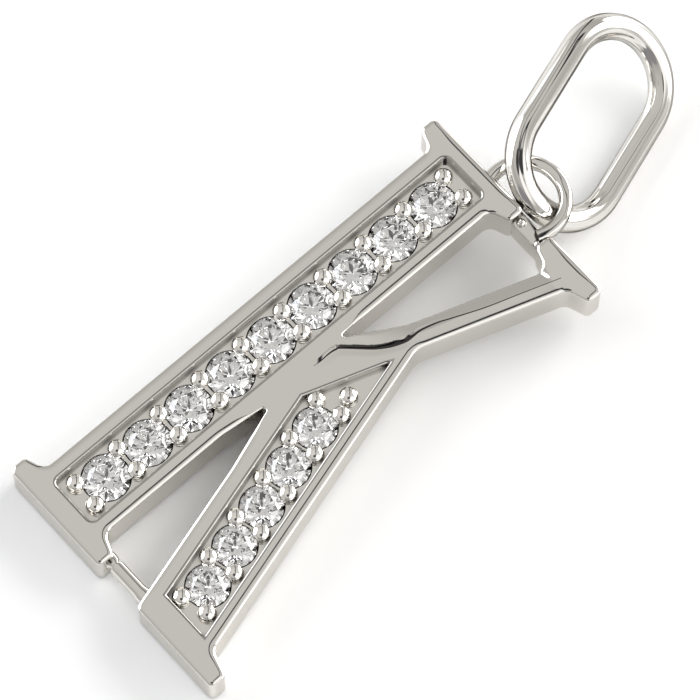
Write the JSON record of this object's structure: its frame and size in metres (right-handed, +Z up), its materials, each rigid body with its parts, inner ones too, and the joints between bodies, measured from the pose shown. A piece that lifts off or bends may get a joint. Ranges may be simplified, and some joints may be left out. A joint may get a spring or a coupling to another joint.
{
  "type": "initial pendant",
  "caption": "Letter K pendant in polished white metal, with round stones set in the stem and leg, a thin arm, a half-round eyelet at the cap and an oval bail for a chain, lying face up.",
  "frame": {"origin": "middle of the bounding box's foot, on the surface that the pendant lies on", "axes": "+Z up from that surface, +Y from the letter's foot to its cap and the bail, +X along the foot from the stem to the leg"},
  "size_m": [0.0086, 0.0232, 0.0029],
  "materials": {
    "polished_metal": "polished",
    "clear_stone": "gloss"
  },
  "bodies": {
    "root": {"letter_frame": "polished_metal", "bail": "polished_metal", "stem_stone_1": "clear_stone", "stem_stone_2": "clear_stone", "stem_stone_3": "clear_stone", "stem_stone_4": "clear_stone", "stem_stone_5": "clear_stone", "stem_stone_6": "clear_stone", "stem_stone_7": "clear_stone", "stem_stone_8": "clear_stone", "stem_stone_9": "clear_stone", "leg_stone_1": "clear_stone", "leg_stone_2": "clear_stone", "leg_stone_3": "clear_stone", "leg_stone_4": "clear_stone", "leg_stone_5": "clear_stone"}
  },
  "joints": []
}
